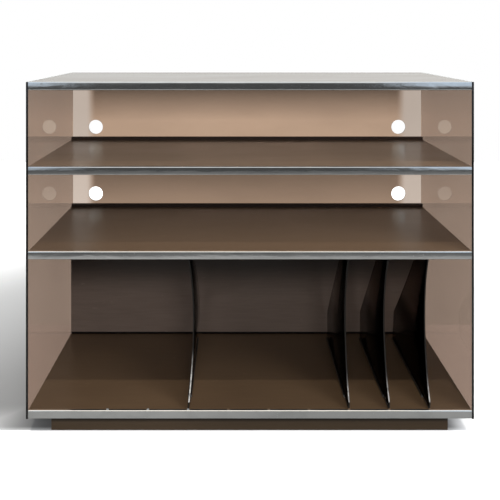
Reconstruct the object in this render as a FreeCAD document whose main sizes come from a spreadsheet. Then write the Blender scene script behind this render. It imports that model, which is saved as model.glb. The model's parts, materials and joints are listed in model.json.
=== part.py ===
import FreeCAD, Part
import math
import os
import Sketcher

# Open stereo cabinet: smoked acrylic sides and upper back, four brown boards with bright metal
# edge trims, a solid back behind the record compartment, four record dividers and a plinth.
# Millimetres. +X right, -Y towards the user, +Z up. The origin is on the ground, in the middle
# of the cabinet's width and depth.

DOC = FreeCAD.newDocument("stereo_cabinet")
SHEET = DOC.addObject("Spreadsheet::Sheet", "Sizes")

# Each driving dimension: its name, its value and what it measures
DRIVING_SIZES = (
    ("cabinet_width", 1000, "over the outer faces of the side panels"),
    ("cabinet_depth", 420, "front to rear edge of the side panels"),
    ("side_wall", 5, "thickness of a side panel"),
    ("side_bevel", 0.6, "polished bevel on the acrylic edges"),
    ("board_wall", 19, "thickness of the top, the shelves and the bottom"),
    ("record_bay", 336, "clear height of the record compartment"),
    ("middle_bay", 170, "clear height of the middle compartment"),
    ("top_bay", 170, "clear height of the top compartment"),
    ("trim_wall", 1.2, "wall of a front trim, least thickness of its face"),
    ("trim_crown", 0.8, "how far the middle of a trim's face stands out past its edges"),
    ("trim_lip", 6, "depth of a trim from the cabinet's front"),
    ("trim_radius", 3, "outer edge radius of a trim"),
    ("trim_fit", 0.3, "gap behind a trim's lips"),
    ("nib_width", 6, "nib on the bottom trim in front of a divider position"),
    ("nib_depth", 2.5, "nib, front to back"),
    ("nib_height", 3, "nib above the trim"),
    ("sheet_wall", 4, "thickness of the upper back sheet"),
    ("sheet_inset", 4, "upper back sheet, in from the side panels' rear edges"),
    ("sheet_fit", 0.5, "gap round the upper back sheet"),
    ("sheet_rebate", 10, "height of the rebate that takes the sheet's top edge"),
    ("port_diameter", 40, "cable port"),
    ("port_side", 66, "port centre from the inner face of a side panel"),
    ("port_rise", 35, "port centre above the shelf below it"),
    ("rail_height", 8, "rear rail above its shelf"),
    ("rail_depth", 12, "rear rail, front to back"),
    ("rail_bevel", 1.5, "eased front edge of a rear rail"),
    ("back_wall", 16, "thickness of the lower back"),
    ("shadow_gap", 3, "height of the shadow gap along the foot of the lower back"),
    ("slot_count", 10, "divider positions across the record compartment"),
    ("slot_shift", 3, "divider positions, to the left of an even spread"),
    ("divider_wall", 3, "thickness of a divider"),
    ("divider_setback", 5, "front corner of a divider, behind the cabinet's front"),
    ("divider_clearance", 35, "upright rear edge of a divider, in front of the lower back"),
    ("divider_tail", 14, "height of the upright nose below the scoop"),
    ("divider_scoop", 56, "deepest point of the scooped front edge, behind the nose"),
    ("divider_brow", 9, "top front corner, behind the nose"),
    ("divider_crown", 92, "top rear corner, behind the nose"),
    ("divider_heel", 75, "height of the upright rear edge"),
    ("strong_bow", 8.5, "sideways bow of the first divider, sprung in under the shelf"),
    ("slight_bow", 4.5, "sideways bow of the last divider"),
    ("divider_fit", 0.3, "gap between a divider and the shelf above or the nib in front"),
    ("shoe_start", 56, "front end of a shoe, behind the cabinet's front"),
    ("shoe_width", 8.4, "width of a divider shoe"),
    ("shoe_height", 6, "height of a divider shoe"),
    ("shoe_web", 1.5, "web under the divider"),
    ("shoe_fit", 0.6, "gap on each side of a divider in its shoe"),
    ("tab_length", 10, "locating tab under a shoe, front to back"),
    ("tab_wall", 3, "thickness of a tab"),
    ("tab_depth", 8, "how far a tab reaches into the bottom board"),
    ("tab_setback", 3, "tab from the shoe's end"),
    ("plinth_height", 50, "ground to the underside of the bottom board"),
    ("plinth_inset", 45, "plinth, in from the cabinet's front, rear and sides"),
    ("plinth_wall", 18, "thickness of a plinth board"),
    ("block_leg", 60, "leg of a triangular corner block"),
    ("block_height", 38, "height of a corner block"),
    ("screw_diameter", 4, "shank of every screw"),
    ("head_diameter", 8, "head of every screw"),
    ("head_height", 2, "raised head of a back screw"),
    ("hole_fit", 0.15, "gap round a screw, a tab or a tongue"),
    ("hole_spare", 0.5, "depth of a blind hole or groove past what goes into it"),
    ("sheet_screw_length", 25, "shank of a screw through the back sheet"),
    ("sheet_screw_setback", 30, "outer back screws from the ends of the cabinet's inside"),
    ("sheet_screw_count", 3, "screws in a row along the back sheet"),
    ("plinth_screw_length", 50, "screw up through a corner block"),
    ("plinth_screw_reach", 20, "plinth screw from a corner block's two square faces"),
    ("tongue_wall", 6, "thickness of the tongues along the lower back's foot and top"),
    ("tongue_height", 6, "height of a tongue"),
)

# Places worked out from the driving dimensions, as expressions
INNER_WIDTH = "(Sizes.cabinet_width - 2 * Sizes.side_wall)"
FRONT = "(-Sizes.cabinet_depth / 2)"
REAR = "(Sizes.cabinet_depth / 2)"
SHEET_REAR = f"({REAR} - Sizes.sheet_inset)"
BOARD_REAR = f"({SHEET_REAR} - Sizes.sheet_wall)"
LOWER_BACK_FRONT = f"({BOARD_REAR} - Sizes.back_wall)"
RECORD_FLOOR = "(Sizes.plinth_height + Sizes.board_wall)"
SLOT_PITCH = f"({INNER_WIDTH} / (Sizes.slot_count + 1))"
TRIM_INSIDE = f"({FRONT} + Sizes.trim_crown + Sizes.trim_wall)"
BEND_INSIDE = "(Sizes.trim_radius - Sizes.trim_wall)"
DIVIDER_FOOT = (f"({LOWER_BACK_FRONT} - {FRONT} - Sizes.divider_setback"
                " - Sizes.divider_clearance)")
SHOE_LENGTH = f"(Sizes.divider_setback + {DIVIDER_FOOT} - Sizes.shoe_start)"
SUNK_HEAD = "((Sizes.head_diameter - Sizes.screw_diameter) / 2)"
SCREW_HOLE = "(Sizes.screw_diameter + 2 * Sizes.hole_fit)"

# Underside of each board, above the top of the plinth
LEVELS = {
    "bottom_board": "0",
    "lower_shelf": "(Sizes.board_wall + Sizes.record_bay)",
    "upper_shelf": "(2 * Sizes.board_wall + Sizes.record_bay + Sizes.middle_bay)",
    "top_board": "(3 * Sizes.board_wall + Sizes.record_bay + Sizes.middle_bay + Sizes.top_bay)",
}
BODY_HEIGHT = f"({LEVELS['top_board']} + Sizes.board_wall)"

# Divider positions in use, counted from the left
DIVIDER_SLOTS = {"divider_1": 4, "divider_2": 8, "divider_3": 9, "divider_4": 10}
DIVIDER_BOWS = {"divider_1": "Sizes.strong_bow", "divider_4": "Sizes.slight_bow"}

# Cuts run this far past the material that they leave
OVERCUT = "2"

# Degrees by which the sides of a raised shape lean in
NIB_TAPER = -8
HEAD_TAPER = -20
SUNK_TAPER = -45


def fill_sheet():
    """Writes the driving dimensions into the spreadsheet."""
    for row, (alias, size, meaning) in enumerate(DRIVING_SIZES, start=1):
        SHEET.set(f"A{row}", meaning)
        SHEET.set(f"B{row}", str(size))
        SHEET.setAlias(f"B{row}", alias)
    DOC.recompute()


def value(expression):
    """The number that an expression of the sheet's sizes gives now."""
    return float(SHEET.evalExpression(expression))


def count_of(alias):
    """A whole-number size, such as a count of screws."""
    return int(round(value(f"Sizes.{alias}")))


def new_body(label, x="0", y="0", z="0"):
    """A body whose origin stands at the given place in the cabinet."""
    body = DOC.addObject("PartDesign::Body", label)
    body.Label = label
    body.AllowCompound = True
    for axis, expression in zip("xyz", (x, y, z)):
        body.setExpression(f"Placement.Base.{axis}", expression)
    return body


def new_sketch(body, role, offset="0"):
    """A sketch on one of the body's own origin planes, moved along the plane's normal."""
    plane = next(item for item in body.Origin.OriginFeatures if item.Role == role)
    sketch = body.newObject("Sketcher::SketchObject", f"{body.Name}_sketch")
    sketch.AttachmentSupport = [(plane, "")]
    sketch.MapMode = "FlatFace"
    sketch.setExpression("AttachmentOffset.Base.z", offset)
    return sketch


def constrain(sketch, kind, places, expression):
    """Adds a dimension that follows an expression."""
    index = sketch.addConstraint(Sketcher.Constraint(kind, *places, value(expression)))
    sketch.setExpression(f"Constraints[{index}]", expression)


def place_point(sketch, geometry, end, x, y):
    """Holds a point of the sketch at x and y from the sketch's origin."""
    constrain(sketch, "DistanceX", (-1, 1, geometry, end), x)
    constrain(sketch, "DistanceY", (-1, 1, geometry, end), y)


def arc_through(start, middle, end):
    """An arc through three points, and whether it runs counter-clockwise from start to end."""
    centre = Part.Arc(start, middle, end).toShape().Curve.Center
    forward = (middle - start).cross(end - start).z > 0
    first, last = (start, end) if forward else (end, start)
    angles = [math.atan2(point.y - centre.y, point.x - centre.x) for point in (first, last)]
    circle = Part.Circle(centre, FreeCAD.Vector(0, 0, 1), (start - centre).Length)
    return Part.ArcOfCircle(circle, angles[0], angles[1]), forward


def outline(sketch, corners, arcs=None):
    """A closed outline through the corners. arcs gives, for the number of the corner that a
    curved side starts at, the point that the side passes through."""
    arcs = arcs or {}
    first = sketch.GeometryCount
    count = len(corners)
    points = [FreeCAD.Vector(value(x), value(y), 0) for x, y in corners]
    starts = {}
    ends = {}
    for k in range(count):
        begin, finish = points[k], points[(k + 1) % count]
        forward = True
        if k in arcs:
            middle = FreeCAD.Vector(value(arcs[k][0]), value(arcs[k][1]), 0)
            side, forward = arc_through(begin, middle, finish)
        else:
            side = Part.LineSegment(begin, finish)
        sketch.addGeometry(side, False)
        starts[k], ends[k] = (1, 2) if forward else (2, 1)
    for k in range(count):
        follower = (k + 1) % count
        sketch.addConstraint(Sketcher.Constraint(
            "Coincident", first + k, ends[k], first + follower, starts[follower]))
        place_point(sketch, first + k, starts[k], *corners[k])
    for k, (x, y) in arcs.items():
        middle = FreeCAD.Vector(value(x), value(y), 0)
        point = sketch.addGeometry(Part.Point(middle), True)
        place_point(sketch, point, 1, x, y)
        sketch.addConstraint(Sketcher.Constraint("PointOnObject", point, 1, first + k))


def rectangle(sketch, left, right, low, high):
    """A closed rectangle between the given edges."""
    outline(sketch, [(left, low), (right, low), (right, high), (left, high)])


def circles(sketch, centres, diameter):
    """Equal circles at the given centres."""
    for x, y in centres:
        middle = FreeCAD.Vector(value(x), value(y), 0)
        circle = Part.Circle(middle, FreeCAD.Vector(0, 0, 1), value(diameter) / 2)
        index = sketch.addGeometry(circle, False)
        constrain(sketch, "Diameter", (index,), diameter)
        place_point(sketch, index, 3, x, y)


def pad(body, sketch, length, backwards=False, taper=0):
    """Raises a sketch along its normal, or against it."""
    feature = body.newObject("PartDesign::Pad", f"{body.Name}_pad")
    feature.Profile = sketch
    feature.setExpression("Length", length)
    feature.Reversed = backwards
    feature.TaperAngle = taper
    body.Tip = feature
    return feature


def pocket(body, sketch, length, along_normal=False):
    """Cuts a sketch into the body, against the sketch's normal or along it."""
    feature = body.newObject("PartDesign::Pocket", f"{body.Name}_pocket")
    feature.Profile = sketch
    feature.setExpression("Length", length)
    feature.Reversed = along_normal
    body.Tip = feature
    return feature


def flush_holes(body, sketch, along_normal=False):
    """Drills clearance holes with a countersink for flush screw heads."""
    DOC.recompute()
    feature = body.newObject("PartDesign::Hole", f"{body.Name}_screw_holes")
    feature.Profile = sketch
    feature.DepthType = "ThroughAll"
    feature.HoleCutType = "Countersink"
    feature.HoleCutCountersinkAngle = 90
    feature.setExpression("Diameter", SCREW_HOLE)
    feature.setExpression("HoleCutDiameter", "Sizes.head_diameter + 2 * Sizes.hole_fit")
    feature.Reversed = along_normal
    body.Tip = feature
    return feature


def repeat_along_x(body, feature, sketch, count, length):
    """Repeats a feature in a row along the body's X direction."""
    pattern = body.newObject("PartDesign::LinearPattern", f"{body.Name}_row")
    pattern.Originals = [feature]
    pattern.Direction = (sketch, ["H_Axis"])
    pattern.setExpression("Length", length)
    pattern.setExpression("Occurrences", count)
    body.Tip = pattern
    return pattern


def edges_along_x(feature, spots):
    """Names of the feature's edges that run along X at the given (y, z) places."""
    DOC.recompute()
    wanted = [(value(y), value(z)) for y, z in spots]
    names = []
    for number, edge in enumerate(feature.Shape.Edges, start=1):
        ends = [vertex.Point for vertex in edge.Vertexes]
        if len(ends) != 2 or abs(ends[0].x - ends[1].x) < 1:
            continue
        if any(math.hypot(ends[0].y - y, ends[0].z - z) < 0.01 for y, z in wanted):
            names.append(f"Edge{number}")
    return names


def dress_edges(body, feature, kind, names, size):
    """Rounds (Fillet) or bevels (Chamfer) the named edges."""
    dressed = body.newObject(f"PartDesign::{kind}", f"{body.Name}_{kind.lower()}")
    dressed.Base = (feature, names)
    dressed.setExpression("Radius" if kind == "Fillet" else "Size", size)
    body.Tip = dressed
    return dressed


def bevel_all(body, feature):
    """Bevels every edge of a plain acrylic slab."""
    DOC.recompute()
    names = [f"Edge{number}" for number in range(1, len(feature.Shape.Edges) + 1)]
    return dress_edges(body, feature, "Chamfer", names, "Sizes.side_bevel")


def evenly(first, last, count):
    """Expressions for places spread evenly from first to last."""
    return [f"({first} + ({last} - {first}) * {k} / {count - 1})" for k in range(count)]


def sheet_screw_columns():
    """Positions of the back screws across the cabinet's inside, from the left."""
    first = "Sizes.sheet_screw_setback"
    return evenly(first, f"({INNER_WIDTH} - {first})", count_of("sheet_screw_count"))


def sheet_screw_rows():
    """Heights of the back screws, above the top of the plinth."""
    middle = "Sizes.board_wall / 2"
    rows = [f"({LEVELS[name]} + {middle})" for name in ("lower_shelf", "upper_shelf")]
    return rows + [f"({LEVELS['top_board']} + Sizes.sheet_rebate / 2)"]


def blind_holes(body, role, offset, centres, diameter, length, along_normal=False):
    """Round blind holes with a fitting gap round what goes into them."""
    sketch = new_sketch(body, role, offset)
    circles(sketch, centres, f"({diameter} + 2 * Sizes.hole_fit)")
    return pocket(body, sketch, f"{length} + Sizes.hole_spare", along_normal)


def side_panel(label, side):
    """Acrylic side panel, bonded to the boards' ends; side is -1 on the left and 1 on the
    right. Its origin is on its inner face, at the top of the plinth."""
    body = new_body(label, x=f"{side} * {INNER_WIDTH} / 2", z="Sizes.plinth_height")
    sketch = new_sketch(body, "YZ_Plane")
    rectangle(sketch, FRONT, REAR, "0", BODY_HEIGHT)
    slab = pad(body, sketch, "Sizes.side_wall", backwards=side < 0)
    bevel_all(body, slab)


def board_profile(rear_corners):
    """Cross-section of a board: a nose for the trim at the front and the given rear corners,
    which run from the underside up."""
    lip_end = f"({FRONT} + Sizes.trim_lip + Sizes.trim_fit)"
    low, high = "Sizes.trim_wall", "(Sizes.board_wall - Sizes.trim_wall)"
    return [(lip_end, "0")] + rear_corners + [
        (lip_end, "Sizes.board_wall"),
        (lip_end, high),
        (f"({TRIM_INSIDE} + {BEND_INSIDE})", high),
        (TRIM_INSIDE, f"({high} - {BEND_INSIDE})"),
        (TRIM_INSIDE, f"({low} + {BEND_INSIDE})"),
        (f"({TRIM_INSIDE} + {BEND_INSIDE})", low),
        (lip_end, low)]


def board(label):
    """A brown board between the side panels. Its origin is on its underside, at its left end."""
    level = LEVELS[label]
    body = new_body(label, x=f"-{INNER_WIDTH} / 2", z=f"Sizes.plinth_height + {level}")
    rear = [(BOARD_REAR, "0"), (BOARD_REAR, "Sizes.board_wall")]
    if label == "top_board":
        rear = [(BOARD_REAR, "0"), (BOARD_REAR, "Sizes.sheet_rebate"),
                (REAR, "Sizes.sheet_rebate"), (REAR, "Sizes.board_wall")]
    sketch = new_sketch(body, "YZ_Plane")
    outline(sketch, board_profile(rear))
    pad(body, sketch, INNER_WIDTH)
    return body


def rear_holes(body, height):
    """Screw holes for the back sheet in a board's rear edge."""
    centres = [(column, height) for column in sheet_screw_columns()]
    depth = "(Sizes.sheet_screw_length - Sizes.sheet_wall)"
    blind_holes(body, "XZ_Plane", f"-{BOARD_REAR}", centres, "Sizes.screw_diameter", depth, True)


def tongue_faces():
    """Front and rear faces of the lower back's tongues."""
    front = f"({LOWER_BACK_FRONT} + (Sizes.back_wall - Sizes.tongue_wall) / 2)"
    return front, f"({front} + Sizes.tongue_wall)"


def groove(body, face, upwards):
    """Groove for the lower back's tongue in a board's face, cut upwards or downwards."""
    front, rear = tongue_faces()
    sketch = new_sketch(body, "XY_Plane", face)
    rectangle(sketch, f"-{OVERCUT}", f"({INNER_WIDTH} + {OVERCUT})",
              f"({front} - Sizes.hole_fit)", f"({rear} + Sizes.hole_fit)")
    pocket(body, sketch, "(Sizes.tongue_height + Sizes.hole_spare)", upwards)


def plinth_screw_spots():
    """(x, y) of the screws in the corner blocks, from the middle of the cabinet."""
    inset = "(Sizes.plinth_inset + Sizes.plinth_wall + Sizes.plinth_screw_reach)"
    return [(f"({side} * (Sizes.cabinet_width / 2 - {inset}))",
             f"({end} * (Sizes.cabinet_depth / 2 - {inset}))")
            for side in (-1, 1) for end in (-1, 1)]


def tab_starts():
    """Front ends of a shoe's two tabs, behind the shoe's front end."""
    return ["Sizes.tab_setback", f"({SHOE_LENGTH} - Sizes.tab_setback - Sizes.tab_length)"]


def slot_column(number):
    """Middle of a divider position, from the left end of the cabinet's inside."""
    return f"({number} * {SLOT_PITCH} - Sizes.slot_shift)"


def bottom_board():
    """Floor of the record compartment, with slots for the tabs of the shoes."""
    body = board("bottom_board")
    groove(body, "Sizes.board_wall", False)
    centres = [(f"({x} + {INNER_WIDTH} / 2)", y) for x, y in plinth_screw_spots()]
    bite = "(Sizes.plinth_screw_length - Sizes.block_height)"
    blind_holes(body, "XY_Plane", "0", centres, "Sizes.screw_diameter", bite, True)
    sketch = new_sketch(body, "XY_Plane", "Sizes.board_wall")
    half = "(Sizes.tab_wall / 2 + Sizes.hole_fit)"
    for number in DIVIDER_SLOTS.values():
        middle = slot_column(number)
        for start in tab_starts():
            front = f"({FRONT} + Sizes.shoe_start + {start})"
            rectangle(sketch, f"({middle} - {half})", f"({middle} + {half})",
                      f"({front} - Sizes.hole_fit)",
                      f"({front} + Sizes.tab_length + Sizes.hole_fit)")
    pocket(body, sketch, "(Sizes.tab_depth + Sizes.hole_spare)")


def lower_shelf():
    """Shelf over the record compartment."""
    body = board("lower_shelf")
    rear_holes(body, "Sizes.board_wall / 2")
    groove(body, "0", True)


def upper_shelf():
    """Shelf between the two upper compartments."""
    rear_holes(board("upper_shelf"), "Sizes.board_wall / 2")


def top_board():
    """Top of the cabinet, with a rebate for the back sheet's upper edge."""
    rear_holes(board("top_board"), "Sizes.sheet_rebate / 2")


def trim(label, board_label):
    """Metal channel with a crowned face over a board's front edge."""
    level = LEVELS[board_label]
    body = new_body(label, x=f"-{INNER_WIDTH} / 2", z=f"Sizes.plinth_height + {level}")
    lip = f"({FRONT} + Sizes.trim_lip)"
    face = f"({FRONT} + Sizes.trim_crown)"
    top = "Sizes.board_wall"
    low, high = "Sizes.trim_wall", "(Sizes.board_wall - Sizes.trim_wall)"
    sketch = new_sketch(body, "YZ_Plane")
    corners = [(face, "0"), (lip, "0"), (lip, low), (TRIM_INSIDE, low), (TRIM_INSIDE, high),
               (lip, high), (lip, top), (face, top)]
    outline(sketch, corners, arcs={len(corners) - 1: (FRONT, f"({top} / 2)")})
    channel = pad(body, sketch, INNER_WIDTH)
    outer = edges_along_x(channel, [(face, "0"), (face, top)])
    rounded = dress_edges(body, channel, "Fillet", outer, "Sizes.trim_radius")
    inner = edges_along_x(rounded, [(TRIM_INSIDE, low), (TRIM_INSIDE, high)])
    dress_edges(body, rounded, "Fillet", inner, BEND_INSIDE)
    return body


def bottom_trim():
    """Front trim of the bottom board. A small nib in front of every divider position stops
    the divider's nose."""
    body = trim("bottom_trim", "bottom_board")
    sunk = "(Sizes.trim_wall * 0.7)"
    sketch = new_sketch(body, "XY_Plane", f"(Sizes.board_wall - {sunk})")
    middle, half = slot_column(1), "Sizes.nib_width / 2"
    rear = f"({FRONT} + Sizes.divider_setback - Sizes.divider_fit)"
    rectangle(sketch, f"({middle} - {half})", f"({middle} + {half})",
              f"({rear} - Sizes.nib_depth)", rear)
    nib = pad(body, sketch, f"(Sizes.nib_height + {sunk})", taper=NIB_TAPER)
    repeat_along_x(body, nib, sketch, "Sizes.slot_count",
                   f"{SLOT_PITCH} * (Sizes.slot_count - 1)")


def sheet_frame():
    """Left edge, lower edge, right edge and upper edge of the back sheet, from the left end of
    the cabinet's inside and the top of the plinth."""
    left = "Sizes.sheet_fit"
    right = f"({INNER_WIDTH} - Sizes.sheet_fit)"
    high = f"({LEVELS['top_board']} + Sizes.sheet_rebate - Sizes.sheet_fit)"
    return left, LEVELS["lower_shelf"], right, high


def port_spots():
    """Centres of the cable ports: two above each shelf."""
    spots = []
    for shelf in ("lower_shelf", "upper_shelf"):
        rise = f"({LEVELS[shelf]} + Sizes.board_wall + Sizes.port_rise)"
        spots.append(("Sizes.port_side", rise))
        spots.append((f"({INNER_WIDTH} - Sizes.port_side)", rise))
    return spots


def back_sheet():
    """Acrylic back of the two upper compartments, screwed to the boards' rear edges."""
    body = new_body("upper_back_sheet", x=f"-{INNER_WIDTH} / 2", z="Sizes.plinth_height")
    left, low, right, high = sheet_frame()
    sketch = new_sketch(body, "XZ_Plane", f"-{BOARD_REAR}")
    rectangle(sketch, left, right, low, high)
    slab = pad(body, sketch, "Sizes.sheet_wall", backwards=True)
    bevel_all(body, slab)
    openings = new_sketch(body, "XZ_Plane", f"-{BOARD_REAR}")
    circles(openings, port_spots(), "Sizes.port_diameter")
    circles(openings, sheet_screw_spots(), SCREW_HOLE)
    pocket(body, openings, "Sizes.sheet_wall")


def sheet_screw_spots():
    """Centres of the back screws, from the left end of the cabinet's inside."""
    return [(column, row) for row in sheet_screw_rows() for column in sheet_screw_columns()]


def sheet_screws():
    """Screws that hold the back sheet, with raised heads that don't strain the acrylic."""
    body = new_body("back_sheet_screws", x=f"-{INNER_WIDTH} / 2", z="Sizes.plinth_height")
    shanks = new_sketch(body, "XZ_Plane", f"-{SHEET_REAR}")
    circles(shanks, sheet_screw_spots(), "Sizes.screw_diameter")
    pad(body, shanks, "Sizes.sheet_screw_length")
    heads = new_sketch(body, "XZ_Plane", f"-{SHEET_REAR}")
    circles(heads, sheet_screw_spots(), "Sizes.head_diameter")
    pad(body, heads, "Sizes.head_height", backwards=True, taper=HEAD_TAPER)


def lower_back():
    """Solid back of the record compartment, with a shadow gap along its foot and tongues
    that fit the boards below and above it."""
    body = new_body("lower_back", x=f"-{INNER_WIDTH} / 2", z=RECORD_FLOOR)
    front, rear = tongue_faces()
    low, high = "(-Sizes.tongue_height)", "(Sizes.record_bay + Sizes.tongue_height)"
    sketch = new_sketch(body, "YZ_Plane")
    outline(sketch, [
        (front, "Sizes.shadow_gap"), (front, low), (rear, low), (rear, "0"),
        (BOARD_REAR, "0"), (BOARD_REAR, "Sizes.record_bay"), (rear, "Sizes.record_bay"),
        (rear, high), (front, high), (front, "Sizes.record_bay"),
        (LOWER_BACK_FRONT, "Sizes.record_bay"), (LOWER_BACK_FRONT, "Sizes.shadow_gap")])
    pad(body, sketch, INNER_WIDTH)


def rear_rail(label, shelf):
    """Low dark rail along a shelf's rear edge, with an eased front edge."""
    floor = f"Sizes.plinth_height + {LEVELS[shelf]} + Sizes.board_wall"
    body = new_body(label, x=f"-{INNER_WIDTH} / 2", z=floor)
    front = f"({BOARD_REAR} - Sizes.rail_depth)"
    sketch = new_sketch(body, "YZ_Plane")
    outline(sketch, [(front, "0"), (BOARD_REAR, "0"), (BOARD_REAR, "Sizes.rail_height"),
                     (f"({front} + Sizes.rail_bevel)", "Sizes.rail_height"),
                     (front, "(Sizes.rail_height - Sizes.rail_bevel)")])
    pad(body, sketch, INNER_WIDTH)


def slot_position(label):
    """X position of a divider's middle plane."""
    return f"({slot_column(DIVIDER_SLOTS[label])} - {INNER_WIDTH} / 2)"


def divider_outline(sketch, height):
    """Side outline of a divider: scooped front edge and sloped rear corner. Depths are
    measured back from the nose."""
    corners = [
        ("0", "0"),
        (DIVIDER_FOOT, "0"),
        (DIVIDER_FOOT, "Sizes.divider_heel"),
        ("Sizes.divider_crown", height),
        ("Sizes.divider_brow", height),
        ("0", "Sizes.divider_tail")]
    scoop_middle = ("Sizes.divider_scoop", f"(({height} + Sizes.divider_tail) / 2)")
    outline(sketch, corners, arcs={4: scoop_middle})


def bow_cut(body, height, bow, face, beyond):
    """Cuts one bowed face of a divider: face is its x at the foot and the top, and beyond is
    the x of the waste side."""
    sketch = new_sketch(body, "XZ_Plane")
    belly = (f"({face} + {bow})", f"({height} / 2)")
    outline(sketch, [(beyond, "0"), (face, "0"), (face, height), (beyond, height)],
            arcs={1: belly})
    pocket(body, sketch, f"({DIVIDER_FOOT} + {OVERCUT})")


def divider(label):
    """Acrylic record divider that stands in its shoe. Its origin is at the foot of its nose,
    in its middle plane."""
    body = new_body(label, x=slot_position(label), y=f"{FRONT} + Sizes.divider_setback",
                    z=f"{RECORD_FLOOR} + Sizes.shoe_web")
    height = "(Sizes.record_bay - Sizes.shoe_web - Sizes.divider_fit)"
    half = "Sizes.divider_wall / 2"
    sketch = new_sketch(body, "YZ_Plane", f"-{half}")
    divider_outline(sketch, height)
    if label not in DIVIDER_BOWS:
        pad(body, sketch, "Sizes.divider_wall")
        return
    bow = DIVIDER_BOWS[label]
    pad(body, sketch, f"(Sizes.divider_wall + {bow} + {OVERCUT})")
    bow_cut(body, height, bow, f"(-{half})", f"(-{half} - {OVERCUT})")
    bow_cut(body, height, bow, f"({half})", f"({half} + {bow} + 2 * {OVERCUT})")


def shoe(label):
    """Slim channel that holds a divider's foot; two tabs under it drop into the floor."""
    divider_label = label.replace("shoe", "divider")
    body = new_body(label, x=slot_position(divider_label), y=f"{FRONT} + Sizes.shoe_start",
                    z=RECORD_FLOOR)
    outer, inner = "(Sizes.shoe_width / 2)", "(Sizes.divider_wall / 2 + Sizes.shoe_fit)"
    sketch = new_sketch(body, "XZ_Plane")
    outline(sketch, [(f"-{outer}", "0"), (outer, "0"), (outer, "Sizes.shoe_height"),
                     (inner, "Sizes.shoe_height"), (inner, "Sizes.shoe_web"),
                     (f"-{inner}", "Sizes.shoe_web"), (f"-{inner}", "Sizes.shoe_height"),
                     (f"-{outer}", "Sizes.shoe_height")])
    pad(body, sketch, SHOE_LENGTH, backwards=True)
    tabs = new_sketch(body, "XY_Plane")
    for start in tab_starts():
        rectangle(tabs, "(-Sizes.tab_wall / 2)", "(Sizes.tab_wall / 2)",
                  start, f"({start} + Sizes.tab_length)")
    pad(body, tabs, "Sizes.tab_depth", backwards=True)


def plinth_boards():
    """Plinth: full-width front and rear boards with two side boards between them."""
    across = "(Sizes.cabinet_width / 2 - Sizes.plinth_inset)"
    along = "(Sizes.cabinet_depth / 2 - Sizes.plinth_inset)"
    wall = "Sizes.plinth_wall"
    plans = {
        "plinth_front": (f"-{across}", across, f"-{along}", f"-({along} - {wall})"),
        "plinth_rear": (f"-{across}", across, f"({along} - {wall})", along),
        "plinth_left": (f"-{across}", f"-({across} - {wall})",
                        f"-({along} - {wall})", f"({along} - {wall})"),
        "plinth_right": (f"({across} - {wall})", across,
                         f"-({along} - {wall})", f"({along} - {wall})"),
    }
    for label, plan in plans.items():
        body = new_body(label)
        sketch = new_sketch(body, "XY_Plane")
        rectangle(sketch, *plan)
        pad(body, sketch, "Sizes.plinth_height")


def corner_block(label, side, end):
    """Triangular block glued into a corner of the plinth, screwed up to the bottom board."""
    corner_x = f"{side} * (Sizes.cabinet_width / 2 - Sizes.plinth_inset - Sizes.plinth_wall)"
    corner_y = f"{end} * (Sizes.cabinet_depth / 2 - Sizes.plinth_inset - Sizes.plinth_wall)"
    body = new_body(label, x=corner_x, y=corner_y,
                    z="Sizes.plinth_height - Sizes.block_height")
    sketch = new_sketch(body, "XY_Plane")
    leg_x, leg_y = f"({-side} * Sizes.block_leg)", f"({-end} * Sizes.block_leg)"
    outline(sketch, [("0", "0"), (leg_x, "0"), ("0", leg_y)])
    pad(body, sketch, "Sizes.block_height")
    drilling = new_sketch(body, "XY_Plane")
    reach = "Sizes.plinth_screw_reach"
    circles(drilling, [(f"({-side} * {reach})", f"({-end} * {reach})")], SCREW_HOLE)
    flush_holes(body, drilling, along_normal=True)


def plinth_screws():
    """Screws up through the corner blocks into the bottom board."""
    body = new_body("plinth_screws", z="Sizes.plinth_height - Sizes.block_height")
    for diameter, length, taper in (
            ("Sizes.screw_diameter", "Sizes.plinth_screw_length", 0),
            ("Sizes.head_diameter", SUNK_HEAD, SUNK_TAPER)):
        sketch = new_sketch(body, "XY_Plane")
        circles(sketch, plinth_screw_spots(), diameter)
        pad(body, sketch, length, taper=taper)


def build_cabinet():
    """Makes every piece."""
    for label, side in (("left", -1), ("right", 1)):
        side_panel(f"side_panel_{label}", side)
    bottom_board()
    lower_shelf()
    upper_shelf()
    top_board()
    bottom_trim()
    for name in ("lower_shelf", "upper_shelf"):
        trim(f"{name}_trim", name)
        rear_rail(f"{name}_rail", name)
    trim("top_trim", "top_board")
    back_sheet()
    sheet_screws()
    lower_back()
    for label in DIVIDER_SLOTS:
        divider(label)
        shoe(label.replace("divider", "shoe"))
    plinth_boards()
    for row, end in (("front", -1), ("rear", 1)):
        for column, side in (("left", -1), ("right", 1)):
            corner_block(f"corner_block_{row}_{column}", side, end)
    plinth_screws()
    DOC.recompute()


def check_features():
    """Stops on a failed feature, a cut that removes nothing or a bad shape."""
    for item in DOC.Objects:
        if any(word in ("Invalid", "Error") for word in item.State):
            raise RuntimeError(f"{item.Name} failed: {item.State}")
        if item.TypeId in ("PartDesign::Pocket", "PartDesign::Hole"):
            if item.Shape.Volume > item.BaseFeature.Shape.Volume - 1e-3:
                raise RuntimeError(f"{item.Name} cuts nothing")
    for body in DOC.findObjects("PartDesign::Body"):
        if body.Shape.isNull() or not body.Shape.isValid() or not body.Shape.Solids:
            raise RuntimeError(f"{body.Label} has no valid shape")


def write_parts():
    """Writes one STEP file for each piece."""
    os.makedirs("parts", exist_ok=True)
    for body in DOC.findObjects("PartDesign::Body"):
        body.Shape.exportStep(f"parts/{body.Label}.step")
        print(f"{body.Label}: {len(body.Shape.Solids)} solid(s), {body.Shape.Volume:.0f} mm3")


fill_sheet()
build_cabinet()
check_features()
write_parts()
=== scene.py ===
import json
import math

import bmesh
import bpy
from mathutils import Matrix, Vector


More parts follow.
